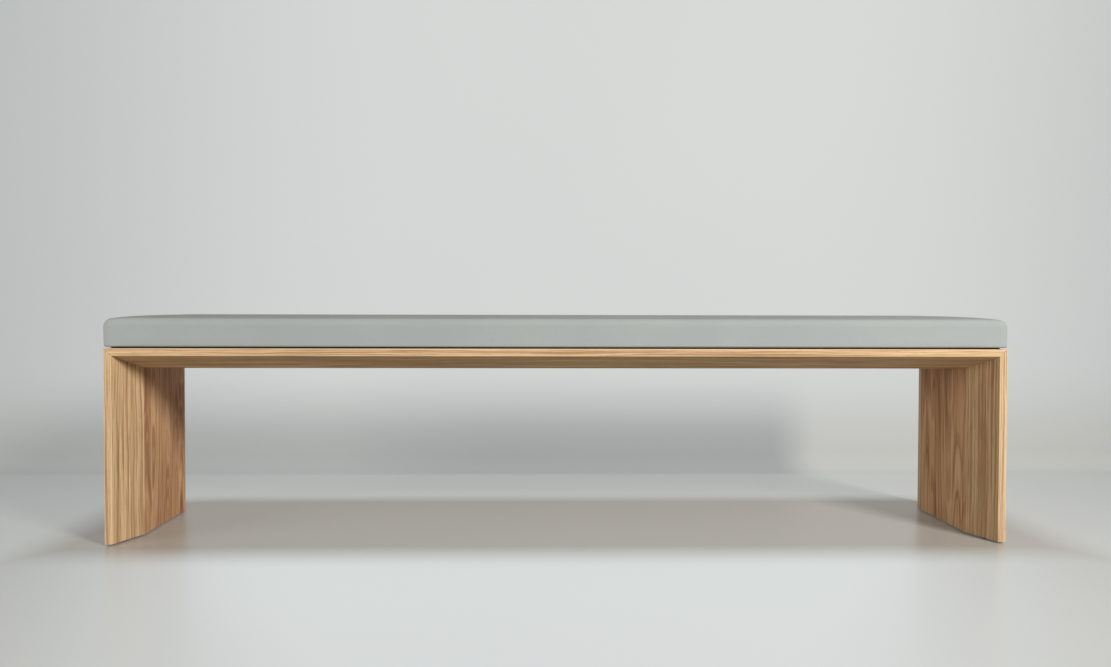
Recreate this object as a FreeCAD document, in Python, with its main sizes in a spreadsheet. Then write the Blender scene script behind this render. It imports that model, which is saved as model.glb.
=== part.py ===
"""Cushioned bench: a mitred oak frame of bevelled panels, a bolted upholstered seat and levelling feet.

The frame is an upturned U of three panels. Each panel has a veneered core, and a solid rail along its front
and its rear that thins from the panel's full thickness to a slim edge. Loose tongues join rails to core,
and a spline locks each mitred corner. The cushion is foam and wadding on a plywood board, under a cover
that is turned under and stapled, and it is bolted through the seat panel from below.

Frame of the model: X along the bench, Y from front to rear, Z up, origin on the floor below the centre.
"""
import FreeCAD, Part

import math
import os

import Sketcher

# Driving dimensions in millimetres, and counts
SIZES = {
    # Oak frame
    "bench_length": 1800,
    "bench_depth": 450,
    "frame_height": 388.5,
    "floor_gap": 3,
    "panel_thickness": 44,
    "edge_thickness": 14.5,
    "bevel_width": 98,
    "veneer_thickness": 2,
    "arris": 1,
    # Loose tongues between cores and rails, and splines across the mitres
    "tongue_thickness": 9,
    "tongue_width": 28,
    "tongue_setback": 70,
    "spline_thickness": 9,
    "spline_width": 28,
    "spline_setback": 20,
    "groove_play": 0.3,
    # Cushion
    "cushion_height": 65.5,
    "crown_reach": 80,
    "crown_radius": 560,
    "edge_radius": 15,
    "bottom_radius": 6,
    "corner_radius": 10,
    "side_draw": 2,
    "form_clearance": 0.1,
    "cover_thickness": 1.3,
    "wadding_thickness": 5,
    "layer_gap": 0.3,
    "board_thickness": 12,
    "wrap_width": 40,
    "lining_thickness": 3,
    "lining_inset": 9,
    # Staples that hold the cover and the lining to the board
    "staple_crown": 10,
    "staple_leg": 8,
    "staple_wire_width": 1.2,
    "staple_wire_height": 0.7,
    "staple_inset": 26,
    "staple_setback": 60,
    "staple_count_along": 18,
    "staple_count_across": 4,
    # Bolts, washers and threaded inserts that hold the cushion to the seat panel
    "bolt_diameter": 6,
    "bolt_end_inset": 300,
    "bolt_row_inset": 42,
    "bolt_count_along": 2,
    "bolt_count_across": 2,
    "bolt_hole_play": 1,
    "bolt_head_across": 10,
    "bolt_head_height": 4,
    "bolt_tip_margin": 1,
    "counterbore_diameter": 18,
    "counterbore_depth": 14,
    "washer_diameter": 16,
    "washer_thickness": 1.6,
    "board_insert_diameter": 10,
    "board_insert_length": 10,
    "thread_play": 0.2,
    "press_play": 0.1,
    # Levelling feet and the threaded inserts that carry them
    "foot_inset": 50,
    "foot_pad_diameter": 20,
    "foot_pad_height": 7,
    "foot_recess_depth": 5,
    "foot_room": 1.5,
    "stud_diameter": 8,
    "stud_length": 28,
    "stud_seat": 4,
    "stud_room": 2,
    "insert_diameter": 12,
    "insert_length": 20,
}

doc = FreeCAD.newDocument("cushioned_bench")
sheet = doc.addObject("Spreadsheet::Sheet", "Sizes")
for row, (alias, number) in enumerate(SIZES.items(), start=1):
    sheet.set(f"A{row}", alias)
    sheet.set(f"B{row}", str(number))
    sheet.setAlias(f"B{row}", alias)
doc.recompute()

# Expressions that several pieces share
HALF_LENGTH = "Sizes.bench_length / 2"
HALF_DEPTH = "Sizes.bench_depth / 2"
HALF_CORE = "(Sizes.bench_depth / 2 - Sizes.bevel_width)"
FRAME_TOP = "(Sizes.floor_gap + Sizes.frame_height)"
BEVEL_SLOPE = "((Sizes.panel_thickness - Sizes.edge_thickness) / Sizes.bevel_width)"
PAD_BOTTOM = f"({FRAME_TOP} + Sizes.lining_thickness)"
BOARD_BOTTOM = f"({PAD_BOTTOM} + Sizes.cover_thickness)"
BOARD_TOP = f"({BOARD_BOTTOM} + Sizes.board_thickness)"
CUSHION_TOP = f"({FRAME_TOP} + Sizes.cushion_height)"
EDGE_SPAN = "(Sizes.crown_reach - Sizes.edge_radius)"
CROWN_GAP = "(Sizes.crown_radius - Sizes.edge_radius)"
CROWN_CENTRE = f"({CUSHION_TOP} - Sizes.crown_radius)"
EDGE_CENTRE = f"({CROWN_CENTRE} + sqrt({CROWN_GAP} * {CROWN_GAP} - {EDGE_SPAN} * {EDGE_SPAN}))"
SIDE_SLOPE = f"(Sizes.side_draw / ({EDGE_CENTRE} - {PAD_BOTTOM}))"
WADDING_INSET = "(Sizes.cover_thickness + Sizes.layer_gap)"
WADDING_INNER_INSET = f"({WADDING_INSET} + Sizes.wadding_thickness)"
FOAM_INSET = f"({WADDING_INNER_INSET} + Sizes.layer_gap)"
BOLT_X = f"({HALF_LENGTH} - Sizes.bolt_end_inset)"
BOLT_Y = f"({HALF_CORE} - Sizes.bolt_row_inset)"
COUNTERBORE_TOP = f"({FRAME_TOP} - Sizes.panel_thickness + Sizes.counterbore_depth)"
FOOT_THICKNESS = f"(Sizes.edge_thickness + Sizes.foot_inset * {BEVEL_SLOPE})"
FOOT_X = f"({HALF_LENGTH} - {FOOT_THICKNESS} / 2)"
FOOT_Y = f"({HALF_DEPTH} - Sizes.foot_inset)"
HALF_ROOT = "sqrt(0.5)"

# The three panels: X runs along the panel, Y across it and Z out of its outer face.
# A leg starts at the mitred corner and ends square at the floor.
PANELS = {
    "seat": {
        "start": f"-{HALF_LENGTH}",
        "end": HALF_LENGTH,
        "mitred_end": True,
        "outer": "top",
        "inner": "under",
        "corner_x": "0",
        "turn": FreeCAD.Rotation(),
        "front": -1,
    },
    "left_leg": {
        "start": "0",
        "end": "Sizes.frame_height",
        "mitred_end": False,
        "outer": "outer",
        "inner": "inner",
        "corner_x": f"-{HALF_LENGTH}",
        "turn": FreeCAD.Rotation(180, 90, 0),
        "front": 1,
    },
    "right_leg": {
        "start": "0",
        "end": "Sizes.frame_height",
        "mitred_end": False,
        "outer": "outer",
        "inner": "inner",
        "corner_x": HALF_LENGTH,
        "turn": FreeCAD.Rotation(0, 90, 0),
        "front": -1,
    },
}
SIDES = {"front": -1, "rear": 1}

# Least volume in cubic millimetres that a cut has to take away
LEAST_CUT = 1e-6

nodes = []


def value(expression):
    """The number that an expression on the sheet gives."""
    return float(sheet.evalExpression(expression))


def bind(thing, path, expression):
    """Ties one property of an object to the sheet."""
    thing.setExpression(path, expression)


def new_body(label, keep=True):
    """An empty body, listed as a piece of the bench unless it only helps to make one."""
    body = doc.addObject("PartDesign::Body", label)
    body.Label = label
    body.AllowCompound = True
    if keep:
        nodes.append(body)
    return body


def origin_plane(body, role):
    """One of a body's own origin planes or axes, by its role."""
    return next(feature for feature in body.Origin.OriginFeatures if feature.Role == role)


def new_sketch(body, role, offset="0"):
    """A sketch on an origin plane of the body, moved along the plane's normal by the offset."""
    sketch = body.newObject("Sketcher::SketchObject", f"{body.Label}_sketch")
    sketch.AttachmentSupport = (origin_plane(body, role), [""])
    sketch.MapMode = "FlatFace"
    bind(sketch, "AttachmentOffset.Base.z", offset)
    return sketch


def constrain(sketch, kind, references, expression):
    """A dimension of a sketch, tied to the sheet."""
    index = sketch.addConstraint(Sketcher.Constraint(kind, *references, value(expression)))
    bind(sketch, f"Constraints[{index}]", expression)


def pin(sketch, curve, end, point):
    """Holds one end or the centre of a curve at a point given by two expressions."""
    for kind, axis, place in (("DistanceX", -2, point[0]), ("DistanceY", -1, point[1])):
        if place == "0":
            sketch.addConstraint(Sketcher.Constraint("PointOnObject", curve, end, axis))
        else:
            constrain(sketch, kind, (-1, 1, curve, end), place)


def outline(sketch, points, arcs=None):
    """A closed outline through the points, in order round it.

    A side that starts at point i is straight, or an arc where arcs[i] gives its centre and radius.
    """
    arcs = arcs or {}
    spots = [FreeCAD.Vector(value(x), value(y), 0) for x, y in points]
    ends = []
    for i, spot in enumerate(spots):
        following = spots[(i + 1) % len(spots)]
        if i not in arcs:
            curve = sketch.addGeometry(Part.LineSegment(spot, following), False)
            ends.append((curve, 1, 2))
            continue
        centre_x, centre_y, radius = arcs[i]
        centre = FreeCAD.Vector(value(centre_x), value(centre_y), 0)
        forward = (spot - centre).cross(following - centre).z > 0
        first, last = (spot, following) if forward else (following, spot)
        circle = Part.Circle(centre, FreeCAD.Vector(0, 0, 1), value(radius))
        angles = [math.atan2(p.y - centre.y, p.x - centre.x) for p in (first, last)]
        curve = sketch.addGeometry(Part.ArcOfCircle(circle, *angles), False)
        ends.append((curve, 1, 2) if forward else (curve, 2, 1))
    for i, (curve, start, end) in enumerate(ends):
        following, first, _ = ends[(i + 1) % len(ends)]
        sketch.addConstraint(Sketcher.Constraint("Coincident", curve, end, following, first))
        pin(sketch, curve, start, points[i])
    for i, (_, _, radius) in arcs.items():
        constrain(sketch, "Radius", (ends[i][0],), radius)


def rectangle(sketch, low, high):
    """A rectangle between two opposite corners."""
    outline(sketch, [low, (high[0], low[1]), high, (low[0], high[1])])


def rounded_rectangle(sketch, half_x, half_y, radius):
    """A rectangle about the sketch's origin with rounded corners."""
    inner_x = f"({half_x} - {radius})"
    inner_y = f"({half_y} - {radius})"
    points = [
        (f"-{inner_x}", f"-({half_y})"), (inner_x, f"-({half_y})"),
        (half_x, f"-{inner_y}"), (half_x, inner_y),
        (inner_x, half_y), (f"-{inner_x}", half_y),
        (f"-({half_x})", inner_y), (f"-({half_x})", f"-{inner_y}"),
    ]
    arcs = {
        1: (inner_x, f"-{inner_y}", radius),
        3: (inner_x, inner_y, radius),
        5: (f"-{inner_x}", inner_y, radius),
        7: (f"-{inner_x}", f"-{inner_y}", radius),
    }
    outline(sketch, points, arcs)


def circle(sketch, centre, diameter):
    """A circle with a pinned centre."""
    start = FreeCAD.Vector(value(centre[0]), value(centre[1]), 0)
    shape = Part.Circle(start, FreeCAD.Vector(0, 0, 1), value(diameter) / 2)
    curve = sketch.addGeometry(shape, False)
    pin(sketch, curve, 3, centre)
    constrain(sketch, "Diameter", (curve,), diameter)


def pad(body, sketch, length, symmetric=False):
    """Raises a sketch along its normal, or evenly to both sides of it."""
    feature = body.newObject("PartDesign::Pad", f"{body.Label}_pad")
    feature.Profile = sketch
    feature.SideType = "Symmetric" if symmetric else "One side"
    bind(feature, "Length", length)
    doc.recompute()
    return feature


def checked_cut(body, feature, before):
    """Makes sure that a cut has taken something away."""
    doc.recompute()
    if body.Shape.Volume > before - LEAST_CUT:
        raise RuntimeError(f"{feature.Label} cuts nothing")
    return feature


def pocket(body, sketch, depth=None, reverse=False, symmetric=False):
    """Cuts a sketch to a depth against its normal, evenly to both sides, or right through both ways."""
    before = body.Shape.Volume
    feature = body.newObject("PartDesign::Pocket", f"{body.Label}_pocket")
    feature.Profile = sketch
    feature.Reversed = reverse
    if depth is None:
        feature.Type = "ThroughAll"
        feature.SideType = "Symmetric"
    else:
        feature.SideType = "Symmetric" if symmetric else "One side"
        bind(feature, "Length", depth)
    return checked_cut(body, feature, before)


def revolve(body, points):
    """Turns a half section, drawn as radius and height, about the body's Z axis."""
    sketch = new_sketch(body, "XZ_Plane")
    outline(sketch, points)
    feature = body.newObject("PartDesign::Revolution", f"{body.Label}_turn")
    feature.Profile = sketch
    feature.ReferenceAxis = (sketch, ["V_Axis"])
    feature.Angle = 360
    doc.recompute()


def grid(body, features, half_x, count_x, half_y, count_y):
    """Repeats features in rows along X and Y, between the corners of a rectangle about the origin."""
    pattern = body.newObject("PartDesign::LinearPattern", f"{body.Label}_grid")
    pattern.Originals = features
    pattern.Direction = (origin_plane(body, "X_Axis"), [""])
    pattern.Direction2 = (origin_plane(body, "Y_Axis"), [""])
    bind(pattern, "Occurrences", count_x)
    bind(pattern, "Occurrences2", count_y)
    bind(pattern, "Length", f"2 * {half_x}")
    bind(pattern, "Length2", f"2 * {half_y}")
    body.Tip = pattern
    doc.recompute()


def bolt_grid(body, features):
    """Repeats features at every cushion bolt."""
    grid(body, features, BOLT_X, "Sizes.bolt_count_along", BOLT_Y, "Sizes.bolt_count_across")


def place(thing, base, turn=None):
    """Puts a piece in the bench."""
    if turn is not None:
        thing.Placement = FreeCAD.Placement(FreeCAD.Vector(), turn)
    for axis, expression in zip("xyz", base):
        bind(thing, f"Placement.Base.{axis}", expression)


def place_in_panel(thing, panel):
    """Puts a piece that is drawn along its panel in the bench."""
    place(thing, (panel["corner_x"], "0", FRAME_TOP), panel["turn"])


# Frame panels


def mitre(body, panel, at_end):
    """Cuts one end of a panel piece at 45 degrees and eases the sharp outer corner."""
    corner = panel["end"] if at_end else panel["start"]
    sign = "-" if at_end else "+"

    def spot(inward, depth):
        return (f"{corner} {sign} ({inward})", f"-({depth})")

    reach = "Sizes.panel_thickness * 2"
    sketch = new_sketch(body, "XZ_Plane")
    outline(sketch, [
        spot(f"Sizes.arris + {reach}", f"-{reach}"),
        spot("Sizes.arris / 2", "Sizes.arris / 2"),
        spot(reach, reach),
        spot(f"-{reach}", reach),
        spot(f"-{reach}", f"-{reach}"),
    ])
    pocket(body, sketch)


def panel_piece(label, panel, section):
    """A board of a panel: its section carried along the panel and mitred at the corners."""
    body = new_body(label)
    sketch = new_sketch(body, "YZ_Plane", panel["start"])
    outline(sketch, section)
    pad(body, sketch, f"{panel['end']} - ({panel['start']})")
    mitre(body, panel, at_end=False)
    if panel["mitred_end"]:
        mitre(body, panel, at_end=True)
    place_in_panel(body, panel)
    return body


def flat_section(outer, inner):
    """The section of a core or a veneer, between two depths below the panel's outer face."""
    return [
        (f"-{HALF_CORE}", f"-({outer})"), (HALF_CORE, f"-({outer})"),
        (HALF_CORE, f"-({inner})"), (f"-{HALF_CORE}", f"-({inner})"),
    ]


def rail_section(side):
    """The section of a rail: flat outside, thinning inside from the joint to the slim edge."""
    edge = f"{side} * {HALF_DEPTH}"
    eased = f"{side} * ({HALF_DEPTH} - Sizes.arris)"
    joint = f"{side} * {HALF_CORE}"
    return [
        (joint, "0"),
        (eased, "0"),
        (edge, "-Sizes.arris"),
        (edge, "-(Sizes.edge_thickness - Sizes.arris)"),
        (eased, f"-(Sizes.edge_thickness + Sizes.arris * {BEVEL_SLOPE})"),
        (joint, "-Sizes.panel_thickness"),
    ]


def groove(body, panel, side, into_rail):
    """The stopped groove for a loose tongue, cut from the joint into a core or a rail."""
    half_height = "(Sizes.tongue_thickness + Sizes.groove_play) / 2"
    middle = "Sizes.panel_thickness / 2"
    sketch = new_sketch(body, "XZ_Plane", f"{-side} * {HALF_CORE}")
    setback = "Sizes.tongue_setback - Sizes.groove_play"
    rectangle(
        sketch,
        (f"{panel['start']} + {setback}", f"-{middle} - {half_height}"),
        (f"{panel['end']} - ({setback})", f"-{middle} + {half_height}"),
    )
    towards_front = (side < 0) == into_rail
    pocket(body, sketch, "Sizes.tongue_width / 2 + Sizes.groove_play", reverse=towards_front)


def spline_slot(body, panel, at_end):
    """The slot for a corner spline, cut square into the mitred end of a core."""
    corner = panel["end"] if at_end else panel["start"]
    sign = "-" if at_end else "+"
    middle = "Sizes.panel_thickness / 2"
    half = f"(Sizes.spline_thickness + Sizes.groove_play) / 2 * {HALF_ROOT}"
    reach = f"(Sizes.spline_width / 2 + Sizes.groove_play) * {HALF_ROOT}"

    def spot(along, inward):
        return (f"{corner} {sign} ({middle} + {along} + {inward})", f"-({middle} + {along} - ({inward}))")

    sketch = new_sketch(body, "XZ_Plane")
    outline(sketch, [spot(half, "0"), spot(f"-({half})", "0"), spot(f"-({half})", reach), spot(half, reach)])
    length = f"2 * ({HALF_CORE} - Sizes.spline_setback + Sizes.groove_play)"
    pocket(body, sketch, length, symmetric=True)


def bore(body, role, offset, centre, diameter, depth):
    """A round hole from an offset plane against the plane's normal."""
    sketch = new_sketch(body, role, offset)
    circle(sketch, centre, diameter)
    return pocket(body, sketch, depth)


def bolt_holes(body, diameter, top, depth):
    """Holes for the cushion bolts, down from a height above the body's own origin."""
    hole = bore(body, "XY_Plane", top, (f"-{BOLT_X}", f"-{BOLT_Y}"), diameter, depth)
    bolt_grid(body, [hole])


def foot_bores(body, side):
    """The stepped hole in the foot of a leg rail: a recess for the pad, then room for insert and stud."""
    centre = (f"{side} * {FOOT_Y}", f"-{FOOT_THICKNESS} / 2")
    steps = (
        ("Sizes.foot_pad_diameter + 2 * Sizes.foot_room", "Sizes.foot_recess_depth"),
        ("Sizes.insert_diameter + Sizes.press_play",
         "Sizes.foot_pad_height - Sizes.floor_gap + Sizes.stud_length - Sizes.stud_seat + Sizes.stud_room"),
    )
    for diameter, depth in steps:
        bore(body, "YZ_Plane", "Sizes.frame_height", centre, diameter, depth)


def make_core(name, panel):
    """The core of a panel, grooved for its tongues and slotted for its corner splines."""
    inner = "Sizes.panel_thickness - Sizes.veneer_thickness"
    core = panel_piece(f"{name}_core", panel, flat_section("Sizes.veneer_thickness", inner))
    for side in SIDES.values():
        groove(core, panel, side, into_rail=False)
    spline_slot(core, panel, at_end=False)
    if panel["mitred_end"]:
        spline_slot(core, panel, at_end=True)
    return core


def make_veneers(name, panel):
    """The two face veneers of a panel."""
    inner = "Sizes.panel_thickness - Sizes.veneer_thickness"
    outer_skin = panel_piece(f"{name}_{panel['outer']}_veneer", panel,
                             flat_section("0", "Sizes.veneer_thickness"))
    inner_skin = panel_piece(f"{name}_{panel['inner']}_veneer", panel,
                             flat_section(inner, "Sizes.panel_thickness"))
    return outer_skin, inner_skin


def make_rail(name, panel, facing):
    """A bevelled solid rail along the front or the rear of a panel."""
    side = -SIDES[facing] * panel["front"]
    rail = panel_piece(f"{name}_{facing}_rail", panel, rail_section(side))
    groove(rail, panel, side, into_rail=True)
    if not panel["mitred_end"]:
        foot_bores(rail, side)


def make_tongue(name, panel, facing):
    """The loose tongue between a core and a rail."""
    side = -SIDES[facing] * panel["front"]
    body = new_body(f"{name}_{facing}_tongue")
    sketch = new_sketch(body, "YZ_Plane", f"{panel['start']} + Sizes.tongue_setback")
    joint = f"{side} * {HALF_CORE}"
    middle = "-Sizes.panel_thickness / 2"
    rectangle(
        sketch,
        (f"{joint} - Sizes.tongue_width / 2", f"{middle} - Sizes.tongue_thickness / 2"),
        (f"{joint} + Sizes.tongue_width / 2", f"{middle} + Sizes.tongue_thickness / 2"),
    )
    pad(body, sketch, f"{panel['end']} - ({panel['start']}) - 2 * Sizes.tongue_setback")
    place_in_panel(body, panel)


def make_panels():
    """All boards and tongues of the three panels, with the bolt holes through the seat."""
    for name, panel in PANELS.items():
        core = make_core(name, panel)
        outer_skin, inner_skin = make_veneers(name, panel)
        if panel["mitred_end"]:
            hole = "Sizes.bolt_diameter + Sizes.bolt_hole_play"
            head_top = "Sizes.counterbore_depth - Sizes.panel_thickness"
            for board in (core, outer_skin):
                bolt_holes(board, hole, "0", "Sizes.panel_thickness")
            for board in (core, inner_skin):
                bolt_holes(board, "Sizes.counterbore_diameter", head_top, "Sizes.counterbore_depth")
        for facing in SIDES:
            make_rail(name, panel, facing)
            make_tongue(name, panel, facing)


def make_splines():
    """The splines that lock the two mitred corners."""
    for name, sign in (("left", -1), ("right", 1)):
        body = new_body(f"{name}_mitre_spline")
        sketch = new_sketch(body, "XZ_Plane")
        rectangle(
            sketch,
            ("-Sizes.spline_width / 2", "-Sizes.spline_thickness / 2"),
            ("Sizes.spline_width / 2", "Sizes.spline_thickness / 2"),
        )
        pad(body, sketch, f"2 * ({HALF_CORE} - Sizes.spline_setback)", symmetric=True)
        centre_x = f"{sign} * ({HALF_LENGTH} - Sizes.panel_thickness / 2)"
        place(body, (centre_x, "0", f"{FRAME_TOP} - Sizes.panel_thickness / 2"),
              FreeCAD.Rotation(0, 45 * sign, 0))


def mirrored(body, role):
    """A mirror step in one of the body's origin planes."""
    step = body.newObject("PartDesign::Mirrored", f"{body.Label}_mirror")
    step.MirrorPlane = (origin_plane(body, role), [""])
    return step


def row_of(body, role, count, length):
    """A step that repeats a feature in a row along an axis."""
    step = body.newObject("PartDesign::LinearPattern", f"{body.Label}_row")
    step.Direction = (origin_plane(body, role), [""])
    bind(step, "Occurrences", count)
    bind(step, "Length", length)
    return step


def repeat(body, feature, steps):
    """Repeats a feature by several steps, each of which repeats what the one before it made."""
    pattern = body.newObject("PartDesign::MultiTransform", f"{body.Label}_repeat")
    pattern.Originals = [feature]
    pattern.Transformations = steps
    body.Tip = pattern
    doc.recompute()


# Cushion


def cushion_profile(sketch, half, lift, inset, bottom, bottom_radius):
    """A section of the cushion: sides drawn in towards the bottom, rounded edges and a crowned top.

    The top is flat but for an arc down to each edge. The edge's own arc has its centre where it touches the
    side and the crown's arc, so every layer's section is the outer one moved in by its inset. The lift raises
    the whole section. A bottom radius of None leaves the lower corners square.
    """
    side = f"({half} - {inset})"
    flat_x = f"({half} - Sizes.crown_reach)"
    edge_x = f"({half} - Sizes.edge_radius)"
    edge_z = f"({EDGE_CENTRE} + {lift})"
    crown_z = f"({CROWN_CENTRE} + {lift})"
    crown_radius = f"(Sizes.crown_radius - {inset})"
    meet_x = f"({flat_x} + {EDGE_SPAN} * {crown_radius} / {CROWN_GAP})"
    meet_z = f"({crown_z} + ({EDGE_CENTRE} - {CROWN_CENTRE}) * {crown_radius} / {CROWN_GAP})"
    right = []
    arcs = {}
    if bottom_radius is None:
        right.append((f"({side} - {SIDE_SLOPE} * ({edge_z} - {bottom}))", bottom))
    else:
        foot_z = f"({bottom} + {bottom_radius})"
        foot_side = f"({side} - {SIDE_SLOPE} * ({edge_z} - {foot_z}))"
        foot_x = f"({foot_side} - {bottom_radius})"
        arcs[0] = (foot_x, foot_z, bottom_radius)
        right += [(foot_x, bottom), (foot_side, foot_z)]
    arcs[len(right)] = (edge_x, edge_z, f"(Sizes.edge_radius - {inset})")
    right.append((side, edge_z))
    arcs[len(right)] = (flat_x, crown_z, crown_radius)
    right += [(meet_x, meet_z), (flat_x, f"({CUSHION_TOP} + {lift} - {inset})")]
    left = [(f"-{x}", z) for x, z in reversed(right)]
    for i, (centre_x, centre_z, radius) in list(arcs.items()):
        arcs[2 * len(right) - 2 - i] = (f"-{centre_x}", centre_z, radius)
    outline(sketch, right + left, arcs)


def cushion_form(name, inset, bottom, bottom_radius=None):
    """One layer's outer form, moved in from the cushion's outside by an inset.

    It is what a cross section, a lengthwise section and a rounded plan have in common. The lengthwise
    section clears the cross section's crown, and the plan clears both sections' sides, so that the one
    shapes only the ends and the other only the upright corners.
    """
    across = new_body(f"{name}_across", keep=False)
    section = new_sketch(across, "YZ_Plane")
    cushion_profile(section, HALF_DEPTH, "0", inset, bottom, bottom_radius)
    pad(across, section, "Sizes.bench_length + Sizes.corner_radius", symmetric=True)

    along = new_body(f"{name}_along", keep=False)
    section = new_sketch(along, "XZ_Plane")
    cushion_profile(section, HALF_LENGTH, "Sizes.form_clearance", inset, bottom, bottom_radius)
    pad(along, section, "Sizes.bench_depth + Sizes.corner_radius", symmetric=True)

    plan = new_body(f"{name}_plan", keep=False)
    sketch = new_sketch(plan, "XY_Plane", bottom)
    margin = f"({inset} + {SIDE_SLOPE} * ({EDGE_CENTRE} - {bottom}))"
    rounded_rectangle(sketch, f"({HALF_LENGTH} - {margin} + Sizes.form_clearance)",
                      f"({HALF_DEPTH} - {margin} + Sizes.form_clearance)", f"(Sizes.corner_radius - {margin})")
    block = pad(plan, sketch, "Sizes.cushion_height")
    bind(block, "TaperAngle", f"atan({SIDE_SLOPE})")

    form = doc.addObject("Part::MultiCommon", f"{name}_form")
    form.Shapes = [across, along, plan]
    doc.recompute()
    return form


def piece_from(kind, label, first, second):
    """A piece of the bench cut from one shape by another."""
    piece = doc.addObject(kind, label)
    piece.Label = label
    piece.Base = first
    piece.Tool = second
    doc.recompute()
    return piece


def make_cover():
    """The cover: a thin shell of the cushion's form, turned under by the wrap width."""
    outer = cushion_form("cover_outer", "0", PAD_BOTTOM, "Sizes.bottom_radius")
    cavity = cushion_form("cover_cavity", "Sizes.cover_thickness", BOARD_BOTTOM,
                          "(Sizes.bottom_radius - Sizes.cover_thickness)")
    shell = piece_from("Part::Cut", "cover_shell", outer, cavity)
    opening = doc.addObject("Part::Box", "cover_opening")
    bind(opening, "Length", "Sizes.bench_length - 2 * Sizes.wrap_width")
    bind(opening, "Width", "Sizes.bench_depth - 2 * Sizes.wrap_width")
    bind(opening, "Height", "Sizes.cover_thickness * 3")
    place(opening, (f"Sizes.wrap_width - {HALF_LENGTH}", f"Sizes.wrap_width - {HALF_DEPTH}",
                    f"{PAD_BOTTOM} - Sizes.cover_thickness"))
    nodes.append(piece_from("Part::Cut", "cushion_cover", shell, opening))


def make_wadding():
    """The wadding: an even layer over the foam and down the sides of the board."""
    outer = cushion_form("wadding_outer", WADDING_INSET, f"({PAD_BOTTOM} + {WADDING_INSET})",
                         f"(Sizes.bottom_radius - {WADDING_INSET})")
    inner = cushion_form("wadding_inner", WADDING_INNER_INSET, PAD_BOTTOM)
    nodes.append(piece_from("Part::Cut", "cushion_wadding", outer, inner))


def make_foam():
    """The foam block on the board."""
    foam = cushion_form("foam", FOAM_INSET, BOARD_TOP)
    foam.Label = "cushion_foam"
    nodes.append(foam)


def make_base_board():
    """The plywood board under the foam, bored for the threaded inserts."""
    board = new_body("cushion_base_board")
    sketch = new_sketch(board, "XY_Plane")
    margin = f"({FOAM_INSET} + Sizes.side_draw)"
    rounded_rectangle(sketch, f"({HALF_LENGTH} - {margin})", f"({HALF_DEPTH} - {margin})",
                      f"(Sizes.corner_radius - {margin})")
    pad(board, sketch, "Sizes.board_thickness")
    place(board, ("0", "0", BOARD_BOTTOM))
    bolt_holes(board, "Sizes.board_insert_diameter + Sizes.press_play", "Sizes.board_thickness",
               "Sizes.board_thickness")


def make_lining():
    """The black felt lining that closes the underside of the cushion and holds it just off the seat."""
    lining = new_body("cushion_lining")
    sketch = new_sketch(lining, "XY_Plane")
    rounded_rectangle(sketch, f"({HALF_LENGTH} - Sizes.lining_inset)",
                      f"({HALF_DEPTH} - Sizes.lining_inset)", "Sizes.corner_radius")
    pad(lining, sketch, "Sizes.lining_thickness")
    place(lining, ("0", "0", FRAME_TOP))
    bolt_holes(lining, "Sizes.bolt_diameter + Sizes.bolt_hole_play", "Sizes.lining_thickness",
               "Sizes.lining_thickness")


def staple(body, role, offset, start):
    """One staple, drawn in an upright plane: a crown under the cover and two legs into the board."""
    half = "Sizes.staple_crown / 2"
    inner = f"({half} - Sizes.staple_wire_width)"
    low = f"({PAD_BOTTOM} - Sizes.staple_wire_height)"
    tip = f"({PAD_BOTTOM} + Sizes.staple_leg)"
    sketch = new_sketch(body, role, offset)
    outline(sketch, [
        (f"{start} - {half}", low), (f"{start} + {half}", low),
        (f"{start} + {half}", tip), (f"{start} + {inner}", tip),
        (f"{start} + {inner}", PAD_BOTTOM), (f"{start} - {inner}", PAD_BOTTOM),
        (f"{start} - {inner}", tip), (f"{start} - {half}", tip),
    ])
    return pad(body, sketch, "Sizes.staple_wire_width", symmetric=True)


def make_staples():
    """A row of staples along each side of the cushion's underside."""
    body = new_body("cushion_staples")
    row_x = f"({HALF_LENGTH} - Sizes.staple_setback)"
    row_y = f"({HALF_DEPTH} - Sizes.staple_setback)"
    first = staple(body, "XZ_Plane", f"({HALF_DEPTH} - Sizes.staple_inset)", f"-{row_x}")
    repeat(body, first, [row_of(body, "X_Axis", "Sizes.staple_count_along", f"2 * {row_x}"),
                         mirrored(body, "XZ_Plane")])
    second = staple(body, "YZ_Plane", f"({HALF_LENGTH} - Sizes.staple_inset)", f"-{row_y}")
    repeat(body, second, [row_of(body, "Y_Axis", "Sizes.staple_count_across", f"2 * {row_y}"),
                          mirrored(body, "YZ_Plane")])


# Cushion bolts


def bolt_rings(label, diameter, height, bottom):
    """A flat ring round every cushion bolt."""
    body = new_body(label)
    sketch = new_sketch(body, "XY_Plane")
    centre = (f"-{BOLT_X}", f"-{BOLT_Y}")
    circle(sketch, centre, diameter)
    circle(sketch, centre, "Sizes.bolt_diameter + Sizes.thread_play")
    ring = pad(body, sketch, height)
    place(body, ("0", "0", bottom))
    bolt_grid(body, [ring])


def make_washers():
    """The washers above the bolt heads."""
    bolt_rings("cushion_washers", "Sizes.washer_diameter", "Sizes.washer_thickness",
               f"{COUNTERBORE_TOP} - Sizes.washer_thickness")


def make_board_inserts():
    """The threaded inserts in the cushion's board."""
    bolt_rings("cushion_inserts", "Sizes.board_insert_diameter", "Sizes.board_insert_length", BOARD_BOTTOM)


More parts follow.
